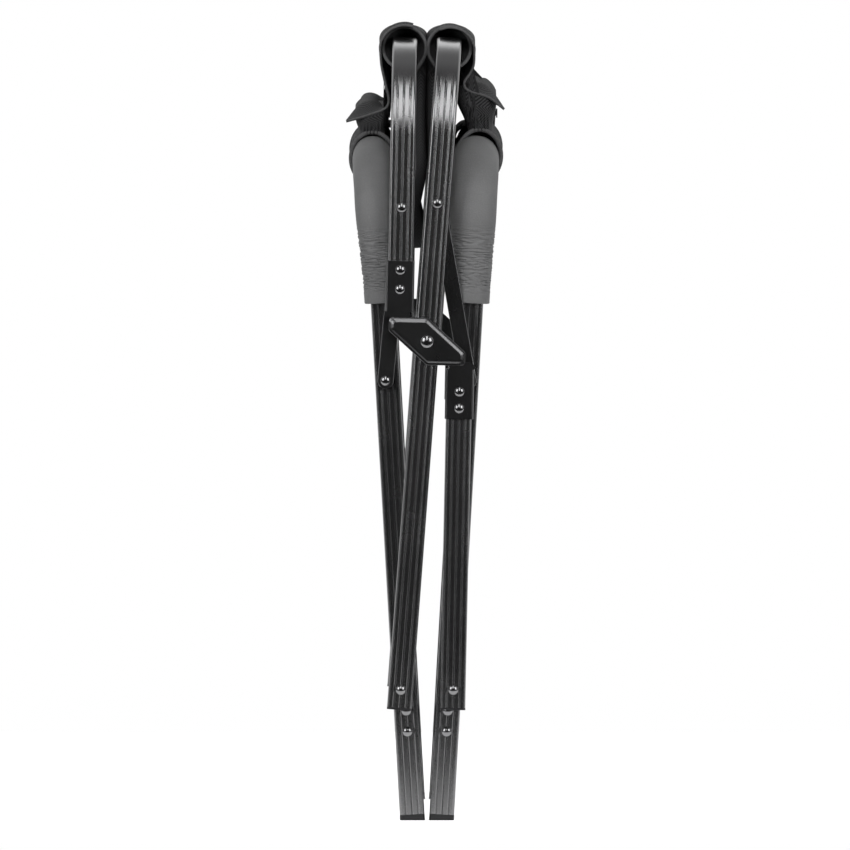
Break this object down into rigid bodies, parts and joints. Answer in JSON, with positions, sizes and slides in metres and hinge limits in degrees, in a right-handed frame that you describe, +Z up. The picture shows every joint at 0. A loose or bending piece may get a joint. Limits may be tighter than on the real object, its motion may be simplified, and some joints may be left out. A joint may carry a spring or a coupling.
{
  "type": "folding directors chair",
  "caption": "Folding directors chair stood folded: ribbed tube side frames, crossing leg frames with a stamped pivot plate, padded arms, mesh cloth seat, side panels and back.",
  "frame": {"origin": "centre of the floor area under the folded chair", "axes": "+Z up, -Y towards the front of the chair, +X to the right of someone who looks at the front"},
  "size_m": [0.1612, 0.4772, 0.7981],
  "materials": {
    "tube": "satin dark charcoal enamel",
    "plate": "satin black enamel",
    "rivet": "gloss black",
    "pad": "matte dark grey leatherette",
    "cloth": "matte black woven mesh",
    "plastic": "matte black"
  },
  "bodies": {
    "side_left": {"left_side_tube": "tube", "left_arm_pad": "pad", "left_stretcher": "tube", "left_stretcher_rivets": "rivet", "left_foot_plugs": "plastic", "left_spacers": "plastic", "left_low_pivot_rivets": "rivet", "left_link_rivets": "rivet", "left_back_bracket": "plate", "left_back_pin": "rivet"},
    "straight_frame": {"straight_frame_tube": "tube", "straight_link_rivets": "rivet", "straight_end_plugs": "plastic"},
    "split_frame": {"split_upper_tube": "tube", "split_lower_front_tube": "tube", "split_lower_rear_tube": "tube", "front_cross_plate": "plate", "rear_cross_plate": "plate", "cross_plate_rivets": "rivet", "cross_pivot_rivets": "rivet", "split_link_rivets": "rivet", "split_end_plugs": "plastic"},
    "side_right": {"right_side_tube": "tube", "right_arm_pad": "pad", "right_stretcher": "tube", "right_stretcher_rivets": "rivet", "right_foot_plugs": "plastic", "right_spacers": "plastic", "right_low_pivot_rivets": "rivet", "right_link_rivets": "rivet", "right_back_bracket": "plate", "right_back_pin": "rivet"},
    "left_links": {"left_front_link": "plate", "left_rear_link": "plate"},
    "right_links": {"right_front_link": "plate", "right_rear_link": "plate"},
    "seat_left": {"left_seat_cloth": "cloth"},
    "seat_right": {"right_seat_cloth": "cloth"},
    "left_panel_upper": {"left_upper_panel": "cloth"},
    "left_panel_lower": {"left_lower_panel": "cloth"},
    "right_panel_upper": {"right_upper_panel": "cloth"},
    "right_panel_lower": {"right_lower_panel": "cloth"},
    "back_left": {"left_back_post": "tube", "left_post_cap": "plastic"},
    "back_right": {"right_back_post": "tube", "right_post_cap": "plastic"},
    "back_cloth_left": {"left_back_cloth": "cloth"},
    "back_cloth_right": {"right_back_cloth": "cloth"}
  },
  "joints": [
    {"name": "fold", "type": "hinge", "parent": "side_left", "child": "straight_frame", "pos_m": [-0.02624, 0, 0.132], "axis": [0, 1, 0], "range_deg": [0, 47.2]},
    {"name": "split_fold", "type": "hinge", "parent": "straight_frame", "child": "split_frame", "pos_m": [0, 0, 0.48102], "axis": [0, 1, 0], "range_deg": [-94.4, 0]},
    {"name": "right_side_fold", "type": "hinge", "parent": "split_frame", "child": "side_right", "pos_m": [0.02624, 0, 0.132], "axis": [0, 1, 0], "range_deg": [0, 47.2]},
    {"name": "left_link_swing", "type": "hinge", "parent": "side_left", "child": "left_links", "pos_m": [-0.0415, 0, 0.441], "axis": [0, 1, 0], "range_deg": [0, 90.86]},
    {"name": "right_link_swing", "type": "hinge", "parent": "side_right", "child": "right_links", "pos_m": [0.0415, 0, 0.441], "axis": [0, 1, 0], "range_deg": [-81.66, 0]},
    {"name": "left_seat_turn", "type": "hinge", "parent": "split_frame", "child": "seat_left", "pos_m": [-0.02204, 0, 0.77419], "axis": [0, 1, 0], "range_deg": [-29.97, 0], "deforming": ["left_seat_cloth"]},
    {"name": "right_seat_turn", "type": "hinge", "parent": "straight_frame", "child": "seat_right", "pos_m": [0.02204, 0, 0.77419], "axis": [0, 1, 0], "range_deg": [0, 29.97], "deforming": ["right_seat_cloth"]},
    {"name": "left_upper_panel_turn", "type": "hinge", "parent": "split_frame", "child": "left_panel_upper", "pos_m": [-0.02204, 0, 0.77419], "axis": [0, 1, 0], "range_deg": [0, 160.1], "deforming": ["left_upper_panel"]},
    {"name": "left_lower_panel_turn", "type": "hinge", "parent": "side_left", "child": "left_panel_lower", "pos_m": [-0.05192, 0, 0.65894], "axis": [0, 1, 0], "range_deg": [0, 186.02], "deforming": ["left_lower_panel"]},
    {"name": "right_upper_panel_turn", "type": "hinge", "parent": "straight_frame", "child": "right_panel_upper", "pos_m": [0.02204, 0, 0.77419], "axis": [0, 1, 0], "range_deg": [-160.1, 0], "deforming": ["right_upper_panel"]},
    {"name": "right_lower_panel_turn", "type": "hinge", "parent": "side_right", "child": "right_panel_lower", "pos_m": [0.05192, 0, 0.65894], "axis": [0, 1, 0], "range_deg": [-186.02, 0], "deforming": ["right_lower_panel"]},
    {"name": "left_back_raise", "type": "hinge", "parent": "side_left", "child": "back_left", "pos_m": [-0.05402, 0.15, 0.69588], "axis": [-1, 0, 0], "range_deg": [0, 97.99]},
    {"name": "right_back_raise", "type": "hinge", "parent": "side_right", "child": "back_right", "pos_m": [0.05402, 0.15, 0.69588], "axis": [-1, 0, 0], "range_deg": [0, 97.99]},
    {"name": "left_back_cloth_turn", "type": "hinge", "parent": "back_left", "child": "back_cloth_left", "pos_m": [-0.05402, 0, 0.69588], "axis": [0, 1, 0], "range_deg": [-80.43, 0], "deforming": ["left_back_cloth"]},
    {"name": "right_back_cloth_turn", "type": "hinge", "parent": "back_right", "child": "back_cloth_right", "pos_m": [0.05402, 0, 0.69588], "axis": [0, 1, 0], "range_deg": [0, 80.43], "deforming": ["right_back_cloth"]}
  ],
  "couplings": [
    {"joint": "split_fold", "follows": "fold", "ratio": -2},
    {"joint": "right_side_fold", "follows": "fold", "ratio": 1},
    {"joint": "left_link_swing", "follows": "fold", "ratio": 1.925},
    {"joint": "right_link_swing", "follows": "fold", "ratio": -1.73},
    {"joint": "left_seat_turn", "follows": "fold", "ratio": -0.635},
    {"joint": "right_seat_turn", "follows": "fold", "ratio": 0.635},
    {"joint": "left_upper_panel_turn", "follows": "fold", "ratio": 3.392},
    {"joint": "left_lower_panel_turn", "follows": "fold", "ratio": 3.941},
    {"joint": "right_upper_panel_turn", "follows": "fold", "ratio": -3.392},
    {"joint": "right_lower_panel_turn", "follows": "fold", "ratio": -3.941},
    {"joint": "left_back_raise", "follows": "fold", "ratio": 2.076},
    {"joint": "right_back_raise", "follows": "fold", "ratio": 2.076},
    {"joint": "left_back_cloth_turn", "follows": "fold", "ratio": -1.704},
    {"joint": "right_back_cloth_turn", "follows": "fold", "ratio": 1.704}
  ]
}
